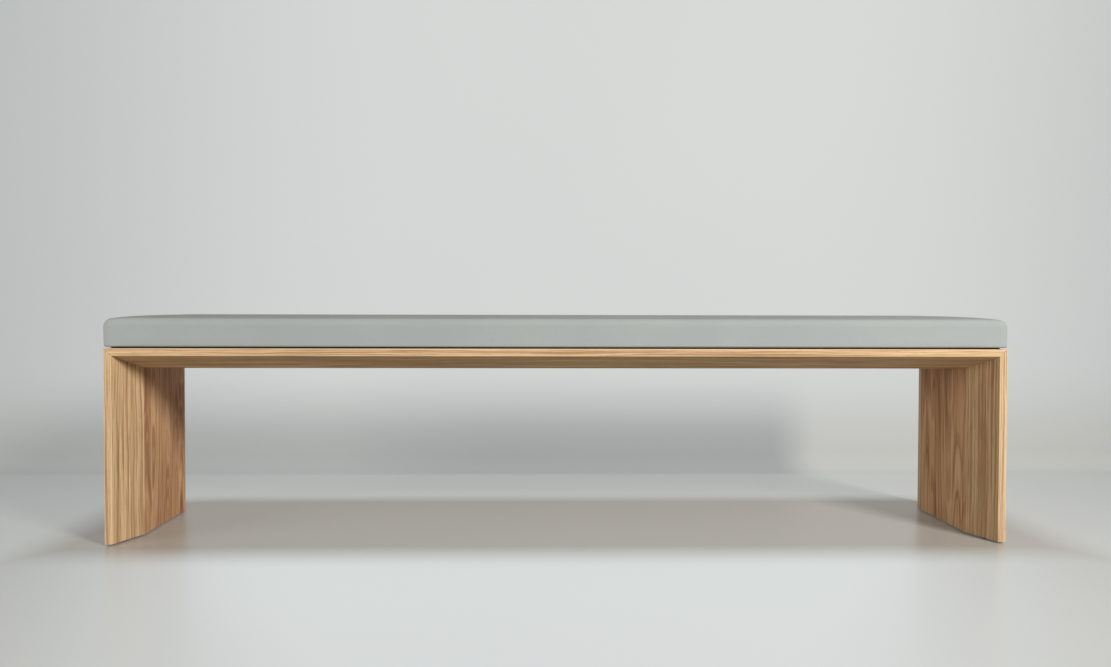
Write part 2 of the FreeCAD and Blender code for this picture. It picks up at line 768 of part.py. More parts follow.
def make_bolts():
    """The hexagon-headed bolts, screwed up into the board's inserts."""
    body = new_body("cushion_bolts")
    length = f"({BOARD_TOP} - Sizes.bolt_tip_margin - {COUNTERBORE_TOP} + Sizes.washer_thickness)"
    centre = (f"-{BOLT_X}", f"-{BOLT_Y}")
    sketch = new_sketch(body, "XY_Plane")
    circle(sketch, centre, "Sizes.bolt_diameter")
    shank = pad(body, sketch, length)
    sketch = new_sketch(body, "XY_Plane", "-Sizes.bolt_head_height")
    radius = "Sizes.bolt_head_across / sqrt(3)"
    outline(sketch, [
        (f"{radius} * cos({60 * k} deg) - {BOLT_X}", f"{radius} * sin({60 * k} deg) - {BOLT_Y}")
        for k in range(6)
    ])
    head = pad(body, sketch, "Sizes.bolt_head_height")
    place(body, ("0", "0", f"{COUNTERBORE_TOP} - Sizes.washer_thickness"))
    bolt_grid(body, [shank, head])


# Levelling feet


def make_inserts():
    """The threaded inserts in the feet of the legs, as one group."""
    body = new_body("leg_inserts")
    sketch = new_sketch(body, "XY_Plane")
    centre = (f"-{FOOT_X}", f"-{FOOT_Y}")
    circle(sketch, centre, "Sizes.insert_diameter")
    circle(sketch, centre, "Sizes.stud_diameter + Sizes.thread_play")
    ring = pad(body, sketch, "Sizes.insert_length")
    place(body, ("0", "0", "Sizes.floor_gap + Sizes.foot_recess_depth"))
    grid(body, [ring], FOOT_X, "2", FOOT_Y, "2")


def make_foot(name, spot_x, spot_y):
    """One levelling foot: a plastic pad moulded round the lower end of a steel stud."""
    socket = "Sizes.foot_pad_height - Sizes.stud_seat"
    radius = "Sizes.foot_pad_diameter / 2"
    socket_radius = "(Sizes.stud_diameter + Sizes.press_play) / 2"
    pad_body = new_body(f"{name}_foot_pad")
    revolve(pad_body, [
        ("0", "0"),
        (radius, "0"),
        (radius, "Sizes.foot_pad_height"),
        (socket_radius, "Sizes.foot_pad_height"),
        (socket_radius, socket),
        ("0", socket),
    ])
    place(pad_body, (spot_x, spot_y, "0"))

    stud = new_body(f"{name}_foot_stud")
    sketch = new_sketch(stud, "XY_Plane")
    circle(sketch, ("0", "0"), "Sizes.stud_diameter")
    pad(stud, sketch, "Sizes.stud_length")
    place(stud, (spot_x, spot_y, socket))


def make_feet():
    """The four feet."""
    for side, sign_x in (("left", -1), ("right", 1)):
        for facing, sign_y in SIDES.items():
            make_foot(f"{side}_{facing}", f"{sign_x} * {FOOT_X}", f"{sign_y} * {FOOT_Y}")


def check_and_export():
    """Checks every object and piece, then writes one file for each piece."""
    doc.recompute()
    for thing in doc.Objects:
        if "Invalid" in thing.State or "Error" in thing.State:
            raise RuntimeError(f"{thing.Label} failed: {thing.State}")
    for piece in nodes:
        if piece.Shape.isNull() or not piece.Shape.isValid():
            raise RuntimeError(f"{piece.Label} has no valid shape")
    os.makedirs("parts", exist_ok=True)
    for piece in nodes:
        piece.Shape.exportStep(os.path.join("parts", f"{piece.Label}.step"))


make_panels()
make_splines()
make_base_board()
make_foam()
make_wadding()
make_cover()
make_lining()
make_staples()
make_board_inserts()
make_bolts()
make_washers()
make_inserts()
make_feet()
check_and_export()
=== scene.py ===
"""Looks of the cushioned bench: oak grain, a filled leather cushion, hardware finishes, stage and light.

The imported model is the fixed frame. Its boards, hardware and feet stay and get finishes here. The
cushion's soft layers are replaced by one padded piece, which is drawn as a surface and then filled by cloth
simulation. All places are in metres, in the frame of the model.
"""

import math

import bpy
import numpy as np
from mathutils import Matrix, Vector


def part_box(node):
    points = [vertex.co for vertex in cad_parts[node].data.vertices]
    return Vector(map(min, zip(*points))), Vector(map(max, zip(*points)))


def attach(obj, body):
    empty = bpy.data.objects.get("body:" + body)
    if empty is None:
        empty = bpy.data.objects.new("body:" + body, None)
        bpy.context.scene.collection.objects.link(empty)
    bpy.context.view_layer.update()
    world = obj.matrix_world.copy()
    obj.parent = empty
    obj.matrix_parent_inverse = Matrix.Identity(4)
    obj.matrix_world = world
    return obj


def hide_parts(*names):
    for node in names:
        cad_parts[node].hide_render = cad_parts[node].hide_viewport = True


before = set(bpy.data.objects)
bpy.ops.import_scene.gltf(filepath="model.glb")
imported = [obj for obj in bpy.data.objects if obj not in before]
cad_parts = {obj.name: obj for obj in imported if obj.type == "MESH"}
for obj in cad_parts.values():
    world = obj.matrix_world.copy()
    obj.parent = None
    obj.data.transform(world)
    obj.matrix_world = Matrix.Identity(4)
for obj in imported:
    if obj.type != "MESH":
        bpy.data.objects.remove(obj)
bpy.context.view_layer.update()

# Places that the finishes and the cushion follow, from the frame
FRAME_LOW, FRAME_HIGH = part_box("seat_front_rail")
HALF_LENGTH = FRAME_HIGH[0]
HALF_DEPTH = -FRAME_LOW[1]
HALF_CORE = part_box("seat_core")[1][1]
FRAME_TOP = FRAME_HIGH[2]
PAD_LOW, PAD_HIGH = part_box("cushion_cover")

# The cushion's edges: radii of the top's and the bottom's rounding, and the crease along front and rear
END_RADIUS = 0.0165
FRONT_RADIUS = 0.02
FRONT_CREASE = math.radians(38)
FOOT_RADIUS = 0.0035
EDGE_BAND = 0.0165
CORNER_SHARE = 0.5

# The cushion's crown, lengthwise and across, and how its sides stand
CROWN_REACH = (0.09, 0.14)
CROWN_SLOPE = (0.05, 0.044)
CROWN_EASE = 0.03
END_PROUD = 0.0035
SIDE_DRAW = 0.001

# The cushion's grid: fine lines near the edges, and wider steps over the plan and up the sides
FINE_STEP = 0.003
FINE_BAND = 5 * FINE_STEP
PLAN_STEP = 0.014
SIDE_STEP = 0.008
TINY = 1e-9

# The cushion's filling: its pressure and length, the cap of its moves, and how high the bottom is held
FILL_PRESSURE = 4
FILL_FRAMES = 20
FILL_CAP = 0.0008
HELD_HEIGHT = 0.0005

# The slim edge of a rail: its thickness, and how wide the eased arris shows
EDGE_THICKNESS = 0.0145
ARRIS = 0.0013

# Widths of a veneer leaf and of a strip of the core, and the thickness of a ply
LEAF_WIDTH = 0.058
STRIP_WIDTH = 0.025
PLY = 0.0015

# The camera, fitted to the edges of the bench in an image of this size
IMAGE_WIDTH = 1111
FOCAL_PIXELS = 1067
CAMERA_PLACE = (-0.0578, -2.345, 0.474)
CAMERA_YAW = 1.326
CAMERA_PITCH = 1.398
CAMERA_ROLL = 0.129

# The stage: where its wall stands behind the bench, and how far it reaches
WALL_Y = 0.72
STAGE_REACH = 9.0
STAGE_HEIGHT = 4.0
COVE_RADIUS = 0.06


def colour(red, green, blue):
    """A screen colour of 0 to 255 in linear light, with full alpha."""
    screen = np.array([red, green, blue]) / 255
    light = np.where(screen <= 0.04045, screen / 12.92, ((screen + 0.055) / 1.055) ** 2.4)
    return (*light.tolist(), 1.0)


# Shader maths


class Value:
    """A number that varies over a surface. Its arithmetic adds Math nodes to its finish."""

    def __init__(self, finish, socket):
        self.finish = finish
        self.socket = socket

    def math(self, operation, *others, first=None):
        """A Math node of this value and others, or of a given first term and this value."""
        terms = [self, *others] if first is None else [first, self]
        return self.finish.value("ShaderNodeMath", {"operation": operation}, dict(enumerate(terms)))

    def __add__(self, other):
        return self.math("ADD", other)

    def __mul__(self, other):
        return self.math("MULTIPLY", other)

    def __sub__(self, other):
        return self.math("SUBTRACT", other)

    def __truediv__(self, other):
        return self.math("DIVIDE", other)

    def __pow__(self, other):
        return self.math("POWER", other)

    def __rsub__(self, other):
        return self.math("SUBTRACT", first=other)

    def __abs__(self):
        return self.math("ABSOLUTE")

    __radd__ = __add__
    __rmul__ = __mul__

    def fraction(self):
        return self.math("FRACT")

    def whole(self):
        return self.math("FLOOR")

    def rise(self, low, high):
        """Climbs smoothly from 0 at low to 1 at high, and falls where low is the greater."""
        settings = {"interpolation_type": "SMOOTHSTEP"}
        if low < high:
            return self.finish.value("ShaderNodeMapRange", settings, {0: self, 1: low, 2: high})
        return 1 - self.finish.value("ShaderNodeMapRange", settings, {0: self, 1: high, 2: low})


class Finish:
    """One procedural material, with its shader and the coordinates of its object."""

    def __init__(self, name):
        self.material = bpy.data.materials.new(name)
        self.material.use_nodes = True
        self.tree = self.material.node_tree
        self.shader = self.tree.nodes["Principled BSDF"]
        self.point = self.node("ShaderNodeTexCoord").outputs["Object"]
        axes = self.node("ShaderNodeSeparateXYZ", {}, {0: self.point})
        self.x, self.y, self.z = (Value(self, axes.outputs[i]) for i in range(3))

    def node(self, kind, settings=None, inputs=None):
        """A node of any kind: its settings first, then the values or links of its sockets."""
        node = self.tree.nodes.new(kind)
        for name, setting in (settings or {}).items():
            setattr(node, name, setting)
        for name, given in (inputs or {}).items():
            self.feed(node.inputs[name], given)
        return node

    def feed(self, socket, given):
        """Links a socket to a value or an output, or sets it to a constant."""
        source = given.socket if isinstance(given, Value) else given
        if isinstance(source, bpy.types.NodeSocket):
            self.tree.links.new(source, socket)
        else:
            socket.default_value = source

    def value(self, kind, settings=None, inputs=None, output=0):
        """A node's output as a number."""
        return Value(self, self.node(kind, settings, inputs).outputs[output])

    def vector(self, x, y, z):
        return self.node("ShaderNodeCombineXYZ", {}, {0: x, 1: y, 2: z}).outputs[0]

    def noise(self, vector, scale=1.0, detail=2.0, roughness=0.5):
        inputs = {"Vector": vector, "Scale": scale, "Detail": detail, "Roughness": roughness}
        return self.value("ShaderNodeTexNoise", {}, inputs)

    def cells(self, scale, feature="F1"):
        """How far a point is from the middle of its cell, with so many cells to the metre."""
        inputs = {"Vector": self.point, "Scale": scale}
        return self.value("ShaderNodeTexVoronoi", {"feature": feature}, inputs, "Distance")

    def chance(self, number):
        """A random number for each whole number."""
        return self.value("ShaderNodeTexWhiteNoise", {"noise_dimensions": "1D"}, {"W": number})

    def mix(self, share, first, second):
        """Two colours mixed by a share."""
        inputs = {0: share, 6: first, 7: second}
        return self.node("ShaderNodeMix", {"data_type": "RGBA"}, inputs).outputs[2]

    def bump(self, height, distance, strength):
        inputs = {"Height": height, "Distance": distance, "Strength": strength}
        return self.node("ShaderNodeBump", {}, inputs).outputs[0]

    def finished(self, **sockets):
        """Feeds the shader's sockets, with a space for each underscore, and returns the material."""
        for name, given in sockets.items():
            self.feed(self.shader.inputs[name.replace("_", " ")], given)
        return self.material


# Oak

PANELS = {
    "seat": {"run": "x", "deep": "z", "face": FRAME_TOP, "inward": -1},
    "left_leg": {"run": "z", "deep": "x", "face": -HALF_LENGTH, "inward": 1},
    "right_leg": {"run": "z", "deep": "x", "face": HALF_LENGTH, "inward": -1},
}

STRAW = colour(219, 185, 144)
TAN = colour(204, 167, 125)
UMBER = colour(140, 102, 66)
CREAM = colour(236, 206, 164)
RUSSET = colour(204, 158, 117)
HAZEL = colour(213, 170, 128)
CHESTNUT = colour(132, 84, 52)
PORE = colour(104, 74, 46)
# Pale of the rails' arrises: partly wear, partly a painted highlight
ARRIS_WEAR_AND_HIGHLIGHT = colour(240, 214, 176)
GLUE = colour(104, 76, 50)


def joint_lines(finish):
    """How near a point is to a glue line: the two mitres, and the joints of the rails with the core."""
    from_end = HALF_LENGTH - abs(finish.x)
    from_top = FRAME_TOP - finish.z
    mitre = abs(from_end - from_top).rise(0.0007, 0.0002)
    rail = abs(abs(finish.y) - HALF_CORE).rise(0.0005, 0.0001)
    return mitre.math("MAXIMUM", rail * 0.5)


def fibres(finish, run, shell, along, pitch, seed):
    """Noise drawn out along the grain, with so many changes to the metre along it and across the rings."""
    return finish.noise(finish.vector(run * along + seed, shell * pitch, seed * 7.3), roughness=0.6)


def open_pores(finish, run, across, deep, along):
    """Short dark pores, much finer across the grain than along it."""
    return finish.noise(finish.vector(run * along, across * 1500, deep * 1500), detail=1).rise(0.6, 0.74)


def oak_material(finish, tone, veins, hairs, pores, roughness):
    """Draws the glue lines over the tone, and gives the oak its gloss and its relief."""
    return finish.finished(
        Base_Color=finish.mix(joint_lines(finish) * 0.5, tone, GLUE),
        Roughness=roughness + hairs * 0.12 + pores * 0.15,
        Normal=finish.bump(veins * -0.5 - pores, 0.0002, 0.35),
        Specular_IOR_Level=0.12,
    )


def oak_rail(name, panel, seed):
    """Straight-grained solid oak.

    The growth rings are flat shells that lean a little in the rail, so they cut the bevels in close
    straight lines and the slim edge in wide wavy ones. Broad bands, veins and hairs of light and dark follow
    them. The arrises of the slim edge are painted pale: partly wear, partly a painted highlight where the
    eased arris catches the light.
    """
    finish = Finish(name)
    run = getattr(finish, panel["run"])
    deep = (getattr(finish, panel["deep"]) - panel["face"]) * panel["inward"]
    across = abs(finish.y)
    wander = finish.noise(finish.vector(run * 5 + seed, across * 8, deep * 20), detail=2)
    shell = across + deep * 1.1 + wander * 0.012
    bands = fibres(finish, run, shell, 1.1, 120, seed)
    veins = fibres(finish, run, shell, 2.6, 400, seed + 3)
    hairs = fibres(finish, run, shell, 7.0, 620, seed + 6)
    pores = open_pores(finish, run, across, deep, 55)
    tone = finish.mix(bands.rise(0.36, 0.64) * 0.6, STRAW, TAN)
    tone = finish.mix(veins.rise(0.51, 0.61) * 0.55, tone, UMBER)
    tone = finish.mix(veins.rise(0.47, 0.37) * 0.5, tone, CREAM)
    tone = finish.mix(hairs.rise(0.51, 0.63) * 0.55, tone, UMBER)
    tone = finish.mix(pores * 0.3, tone, PORE)
    # Painted highlight and wear: a pale band along both arrises of the slim edge, standing partly for the
    # light the eased arris catches
    outside = across.rise(HALF_DEPTH - 1.6 * ARRIS, HALF_DEPTH - 0.8 * ARRIS)
    middle = EDGE_THICKNESS / 2
    brink = abs(deep - middle).rise(middle - 1.6 * ARRIS, middle - 0.5 * ARRIS)
    tone = finish.mix(outside * brink * 0.7, tone, ARRIS_WEAR_AND_HIGHLIGHT)
    return oak_material(finish, tone, veins, hairs, pores, 0.5)


def oak_veneer(name, panel, seed):
    """Flat-cut oak veneer in leaves side by side.

    Each leaf has its own pith a little below its face and tilted to it, so the rings cut the face in nested
    arches along the middle of the leaf and in straight lines along its sides.
    """
    finish = Finish(name)
    deep = (getattr(finish, panel["deep"]) - panel["face"]) * panel["inward"]
    place = finish.y / LEAF_WIDTH + seed * 3.7
    luck = finish.chance(place.whole() + seed)
    side = (place.fraction() - 0.5 + (luck - 0.5) * 0.7) * LEAF_WIDTH
    run = getattr(finish, panel["run"]) + luck * 5
    wander = finish.noise(finish.vector(run * 4 + seed, side * 14, luck * 9), detail=2)
    height = (run * 0.9).math("PINGPONG", 0.45) * 0.08 + 0.008 + wander * 0.022
    shell = (side ** 2 + height ** 2) ** 0.5
    bands = fibres(finish, run, shell, 1.0, 90, seed)
    veins = fibres(finish, run, shell, 2.5, 160, seed + 3)
    hairs = fibres(finish, run, finish.y, 4.0, 160, seed + 6)
    pores = open_pores(finish, run, finish.y, deep, 50)
    tone = finish.mix(luck.rise(0.1, 0.9) * 0.8, RUSSET, HAZEL)
    tone = finish.mix(bands.rise(0.44, 0.7) * 0.4, tone, CHESTNUT)
    tone = finish.mix(veins.rise(0.5, 0.64) * 0.6, tone, CHESTNUT)
    tone = finish.mix(veins.rise(0.46, 0.34) * 0.7, tone, STRAW)
    tone = finish.mix(hairs.rise(0.52, 0.66) * 0.55, tone, CHESTNUT)
    tone = finish.mix(hairs.rise(0.44, 0.34) * 0.4, tone, STRAW)
    brim = abs(place.fraction() - 0.5).rise(0.44, 0.49) * luck.rise(0.45, 0.6)
    tone = finish.mix(brim * 0.5, tone, CREAM)
    tone = finish.mix(pores * 0.3, tone, PORE)
    return oak_material(finish, tone, veins, hairs, pores, 0.52)


def blockboard(name):
    """The panels' core: sawn strips side by side, each with its own tone and rings."""
    finish = Finish(name)
    place = finish.y / STRIP_WIDTH
    luck = finish.chance(place.whole())
    side = place.fraction() - 0.5
    grain = finish.noise(finish.vector(finish.x * 40, finish.y * 160, finish.z * 40), detail=3)
    rings = ((side ** 2 + grain * 0.3) ** 0.5 * 9 + luck * 7).fraction()
    tone = finish.mix(luck * 0.6 + 0.2, colour(216, 184, 134), colour(190, 150, 100))
    tone = finish.mix(rings ** 3 * 0.5, tone, colour(160, 116, 70))
    gap = abs(side).rise(0.485, 0.498)
    tone = finish.mix(gap, tone, colour(96, 70, 46))
    relief = finish.bump(grain, 0.0003, 0.4)
    return finish.finished(Base_Color=tone, Roughness=0.65 + rings * 0.1, Normal=relief)


def plywood(name):
    """Plies about 1.5 mm thick, light and dark by turns, with fine streaks."""
    finish = Finish(name)
    plies = (finish.z / PLY).whole()
    odd = (plies * 0.5).fraction() * 2
    streak = finish.noise(finish.vector(finish.x * 12, finish.y * 160, finish.z * 300), detail=3)
    tone = finish.mix(odd * 0.7, colour(222, 196, 152), colour(180, 142, 98))
    tone = finish.mix(streak.rise(0.4, 0.75) * 0.5, tone, colour(158, 120, 80))
    relief = finish.bump(streak, 0.0002, 0.3)
    return finish.finished(Base_Color=tone, Roughness=0.6 + streak * 0.1, Normal=relief)


# Cushion and hardware finishes


def leather(name):
    """Smooth matt hide: fine pebbles about 1 mm across, with slow drifts of tone and gloss."""
    finish = Finish(name)
    pebble = finish.cells(950.0, "SMOOTH_F1")
    drift = finish.noise(finish.point, scale=5.0, detail=3)
    mottle = finish.noise(finish.point, scale=160.0, detail=3, roughness=0.6)
    crease = finish.noise(finish.point, scale=420.0, detail=2)
    tone = finish.mix(drift.rise(0.3, 0.7), colour(162, 167, 166), colour(166, 171, 169))
    tone = finish.mix(mottle.rise(0.45, 0.8) * 0.25, tone, colour(154, 159, 158))
    tone = finish.mix(pebble.rise(0.45, 0.8) * 0.3, tone, colour(144, 149, 147))
    return finish.finished(
        Base_Color=tone,
        Roughness=0.62 + drift * 0.06 + mottle * 0.08,
        Normal=finish.bump(crease * 0.5 - pebble, 0.00012, 0.3),
        Specular_IOR_Level=0.06,
    )


def felt(name):
    """Black needled felt: matted fibres with small pricked dimples."""
    finish = Finish(name)
    fibre = finish.noise(finish.point, scale=900.0, detail=4, roughness=0.7)
    dimple = finish.cells(700.0).rise(0.45, 0.2)
    tone = finish.mix(fibre, colour(36, 34, 30), colour(70, 66, 58))
    relief = finish.bump(fibre - dimple, 0.0003, 0.5)
    return finish.finished(Base_Color=tone, Roughness=0.85 + dimple * 0.1, Normal=relief)


def plated_steel(name, light, dark):
    """Plated steel: cloudy plating, with fine scratches that spread the gloss."""
    finish = Finish(name)
    cloud = finish.noise(finish.point, scale=220.0, detail=3)
    scratch = finish.noise(finish.vector(finish.x * 2500, finish.y * 2500, finish.z * 300), detail=2)
    tone = finish.mix(cloud.rise(0.35, 0.7), light, dark)
    return finish.finished(
        Base_Color=tone,
        Metallic=1.0,
        Roughness=0.24 + cloud * 0.12 + scratch * 0.1,
        Normal=finish.bump(scratch, 0.00005, 0.3),
    )


def moulded_nylon(name):
    """Black moulded nylon with a fine spark-eroded texture and dusty patches."""
    finish = Finish(name)
    grain = finish.noise(finish.point, scale=1800.0, detail=3)
    dust = finish.noise(finish.point, scale=90.0, detail=4)
    tone = finish.mix(dust.rise(0.5, 0.8) * 0.5, colour(28, 28, 29), colour(58, 57, 55))
    relief = finish.bump(grain, 0.0001, 0.4)
    return finish.finished(Base_Color=tone, Roughness=0.5 + dust * 0.2, Normal=relief)


def dress_nodes():
    """Gives every node of the model that stays in view its finish."""
    shared = {
        "_core": blockboard("panel core blockboard"),
        "_tongue": plywood("tongue and board plywood"),
        "_lining": felt("lining felt"),
        "_washers": plated_steel("zinc plated steel", colour(205, 208, 210), colour(178, 182, 186)),
        "_bolts": plated_steel("blackened bolt steel", colour(62, 62, 64), colour(38, 38, 40)),
        "_foot_pad": moulded_nylon("foot nylon"),
    }
    shared["_spline"] = shared["_base_board"] = shared["_tongue"]
    for ending in ("_staples", "_inserts", "_foot_stud"):
        shared[ending] = shared["_washers"]
    for count, (name, node) in enumerate(sorted(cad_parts.items())):
        panel = next((panel for start, panel in PANELS.items() if name.startswith(start)), None)
        if name.endswith("_rail"):
            finish = oak_rail(f"{name} oak", panel, count * 0.53)
        elif name.endswith("_veneer"):
            finish = oak_veneer(f"{name} oak", panel, count * 0.53)
        else:
            finish = next((shared[end] for end in shared if name.endswith(end)), None)
        if finish is not None:
            node.material_slots[0].material = finish


# Cushion


def lines(low, high, first_band, last_band, step):
    """Grid lines from low to high: fine ones in a band at each end, and wider even steps between them."""
    first = np.arange(0, first_band, FINE_STEP)
    last = np.arange(0, last_band, FINE_STEP)
    count = max(2, round((high - low - first_band - last_band) / step))
    middle = np.linspace(low + first_band, high - last_band, count + 1)
    return np.concatenate([low + first, middle, (high - last)[::-1]])


def box_grid(xs, ys, zs):
    """The outside of a block of grid lines: its points, and four-sided faces that point outwards.

    Every point of the block has a number, a face of the block is a slice of those numbers, and only the
    numbers on the outside are kept.
    """
    numbers = np.arange(len(xs) * len(ys) * len(zs)).reshape(len(xs), len(ys), len(zs))

    def quads(sheet):
        corners = [sheet[:-1, :-1], sheet[1:, :-1], sheet[1:, 1:], sheet[:-1, 1:]]
        return np.stack(corners, axis=-1).reshape(-1, 4)

    sheets = [
        numbers[:, :, -1], numbers[:, ::-1, 0],
        numbers[:, 0, :], numbers[::-1, -1, :],
        numbers[0, ::-1, :], numbers[-1, :, :],
    ]
    faces = np.concatenate([quads(sheet) for sheet in sheets])
    kept, faces = np.unique(faces, return_inverse=True)
    spots = np.stack(np.meshgrid(xs, ys, zs, indexing="ij"), axis=-1).reshape(-1, 3)
    return spots[kept], faces.reshape(-1, 4)


def cushion_surface():
    """The unfilled cushion as points and faces.

    A block's outside is rounded in two steps. In plan, what lies beyond the inner rectangle is turned from
    a square corner towards a round one, by a power of the ratio of its greater part to its length. The power
    is 1 for a quarter circle and less for a tighter corner. Upwards, the outer band of the top or bottom and
    the end band of the side each take half of an arc. It is a quarter circle, but along the top of front and
    rear it starts at a crease, already tipped by an angle.

    The top then drops by the root of the sum of squares of two falls, lengthwise and across. Each is a slope
    times the square of the distance past the flat middle, over that distance and an ease. So it starts as a
    curve and goes on as a nearly even slope. The sides draw in towards mid length and towards the bottom.
    """
    half = np.array([HALF_LENGTH + END_PROUD, HALF_DEPTH])
    low = PAD_LOW[2]
    high = PAD_HIGH[2]
    xs = lines(-half[0], half[0], FINE_BAND, FINE_BAND, PLAN_STEP)
    ys = lines(-half[1], half[1], FINE_BAND, FINE_BAND, PLAN_STEP)
    zs = lines(low, high, FOOT_RADIUS, FINE_BAND, SIDE_STEP)
    spots, faces = box_grid(xs, ys, zs)

    plan, height = spots[:, :2], spots[:, 2]
    core = np.clip(plan, -(half - EDGE_BAND), half - EDGE_BAND)
    beyond = plan - core
    reach = np.maximum(np.abs(beyond).max(axis=1), TINY)
    turn = (reach / np.maximum(np.hypot(*beyond.T), TINY)) ** CORNER_SHARE
    outward = beyond * (turn / reach)[:, None]

    upper = height > (low + high) / 2
    facing = outward[:, 1] ** 2 / np.maximum((outward ** 2).sum(axis=1), TINY)
    radius = np.where(upper, END_RADIUS + (FRONT_RADIUS - END_RADIUS) * facing, FOOT_RADIUS)
    start = np.where(upper, FRONT_CREASE * facing, 0)
    breadth = radius * (1 - np.sin(start))
    depth = radius * np.cos(start)
    brim = np.where(upper, high, low)
    inset = EDGE_BAND - reach
    climb = np.abs(brim - height)
    from_flat = np.clip(1 - inset / breadth, 0, 1)
    from_side = np.clip(1 - climb / depth, 0, 1)
    angle = start + (math.pi / 4 - start / 2) * np.where(climb < TINY, from_flat, 2 - from_side)
    rounded = (inset < breadth) & (climb < depth)
    new_reach = np.where(rounded, EDGE_BAND - radius * (1 - np.sin(angle)), reach)
    new_climb = np.where(rounded, radius * (np.cos(start) - np.cos(angle)), climb)
    plan = core + outward * new_reach[:, None]
    height = np.where(upper, high - new_climb, low + new_climb)

    share = (height - low) / (high - low)
    over = np.maximum(np.abs(plan) - (half - CROWN_REACH), 0)
    falls = np.array(CROWN_SLOPE) * over ** 2 / (over + CROWN_EASE)
    height = height - np.hypot(*falls.T) * share
    slack = 1 - (plan[:, ::-1] / half[::-1]) ** 2
    plan = plan * (1 - SIDE_DRAW * (0.5 * slack + 0.5 * (1 - share)[:, None]) / half)
    return np.column_stack([plan, height]), faces


def mesh_object(name, points, faces):
    """A mesh at the origin with smooth faces."""
    mesh = bpy.data.meshes.new(name)
    mesh.from_pydata(points.tolist(), [], faces.tolist())
    mesh.polygons.foreach_set("use_smooth", np.ones(len(mesh.polygons), dtype=bool))
    mesh.update()
    made = bpy.data.objects.new(name, mesh)
    bpy.context.collection.objects.link(made)
    return made


def fill(piece, points, held):
    """Fills a closed cover by air pressure while some of its points are held, and gives its points.

    Each point's move is shortened to move times cap over move plus cap, so that none passes the cap.
    """
    group = piece.vertex_groups.new(name="held")
    group.add(np.flatnonzero(held).tolist(), 1.0, "REPLACE")
    cloth = piece.modifiers.new("Filling", "CLOTH")
    cloth.settings.use_pressure = True
    cloth.settings.uniform_pressure_force = FILL_PRESSURE
    cloth.settings.vertex_group_mass = "held"
    cloth.settings.effector_weights.gravity = 0
    cloth.collision_settings.use_collision = False
    scene = bpy.context.scene
    for number in range(1, FILL_FRAMES + 1):
        scene.frame_set(number)
    filled = piece.evaluated_get(bpy.context.evaluated_depsgraph_get()).data
    moved = np.empty(len(points) * 3)
    filled.vertices.foreach_get("co", moved)
    move = moved.reshape(-1, 3) - points
    length = np.linalg.norm(move, axis=1, keepdims=True)
    piece.modifiers.remove(cloth)
    piece.vertex_groups.remove(group)
    scene.frame_set(1)
    return points + move * FILL_CAP / (length + FILL_CAP)


def make_cushion():
    """The padded cushion, which stands for the cover and the soft layers under it.

    Its bottom and its four upright corners are held while it fills. Its height is then stretched evenly to
    the cushion's own.
    """
    points, faces = cushion_surface()
    piece = mesh_object("seat_cushion", points, faces)
    corner = np.array([HALF_LENGTH, HALF_DEPTH]) - 2 * EDGE_BAND
    at_corner = (np.abs(points[:, :2]) > corner).all(axis=1)
    points = fill(piece, points, at_corner | (points[:, 2] < PAD_LOW[2] + HELD_HEIGHT))
    low, high = points[:, 2].min(), points[:, 2].max()
    points[:, 2] = PAD_LOW[2] + (points[:, 2] - low) / (high - low) * (PAD_HIGH[2] - PAD_LOW[2])
    piece.data.vertices.foreach_set("co", points.ravel())
    piece.data.update()
    finer = piece.modifiers.new("Finer", "SUBSURF")
    finer.levels = 1
    finer.render_levels = 1
    piece.data.materials.append(leather("cushion leather"))
    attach(piece, "bench")
    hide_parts("cushion_cover", "cushion_wadding", "cushion_foam")


# Stage, light and camera


def stage_finish(name):
    """Pale stage paint: a slightly glossy floor and a matt wall, seen by the camera only from their front.

    What the camera and glossy or clear surfaces see of it is mixed with a glowing paleness that lights
    nothing
    else: painted light, from which the stage's paleness mostly comes. Its colour fades to the sides as a
    painted falloff. Its share is least around the bench, where the real shadow shows, and grows as painted
    pools of light on the near floor, less towards its corners, beside the bench, and over the far floor and
    up the wall, less low on the wall, so the wall darkens towards the floor.
    """
    finish = Finish(name)
    cloud = finish.noise(finish.point, scale=0.8, detail=2)
    wall = finish.z.rise(0.0, 0.06)
    tone = finish.mix(cloud.rise(0.3, 0.7), colour(170, 165, 156), colour(176, 171, 162))
    finish.finished(Base_Color=tone, Roughness=0.2 + cloud * 0.08 + wall * 0.6)
    paths = finish.node("ShaderNodeLightPath").outputs
    camera = Value(finish, paths["Is Camera Ray"])
    glossy = Value(finish, paths["Is Glossy Ray"])
    shown = camera.math("MAXIMUM", glossy).math("MAXIMUM", Value(finish, paths["Is Transmission Ray"]))
    # Painted falloff: the painted light's colour darkens towards the sides
    sides = abs(finish.x - 0.15).rise(0.6, 2.2)
    paleness = finish.mix(sides, colour(231, 237, 238), colour(189, 197, 200))
    glow = finish.node("ShaderNodeEmission", {}, {"Color": paleness}).outputs[0]
    # Painted pools of light: the share of painted light on the near floor, beside the bench and on the far
    # floor and wall, least around the bench and lower down the wall
    corner = (abs(finish.x) - finish.y * 0.4).rise(0.65, 1.25)
    near = finish.y.rise(-0.19, -0.42) * (0.72 - corner * 0.4)
    beside = abs(finish.x).rise(0.92, 1.1) * 0.4
    far = finish.y.rise(0.2, 0.36) * (0.4 + finish.z.rise(0.04, 0.32) * 0.24)
    share = near.math("MAXIMUM", far).math("MAXIMUM", beside).math("MAXIMUM", 0.07)
    paint = finish.shader.outputs[0]
    pale = finish.node("ShaderNodeMixShader", {}, {0: shown * share, 1: paint, 2: glow}).outputs[0]
    behind = finish.value("ShaderNodeNewGeometry", output="Backfacing")
    clear = finish.node("ShaderNodeBsdfTransparent").outputs[0]
    front = finish.node("ShaderNodeMixShader", {}, {0: behind * camera, 1: pale, 2: clear}).outputs[0]
    finish.tree.links.new(front, finish.tree.nodes["Material Output"].inputs["Surface"])
    return finish.material


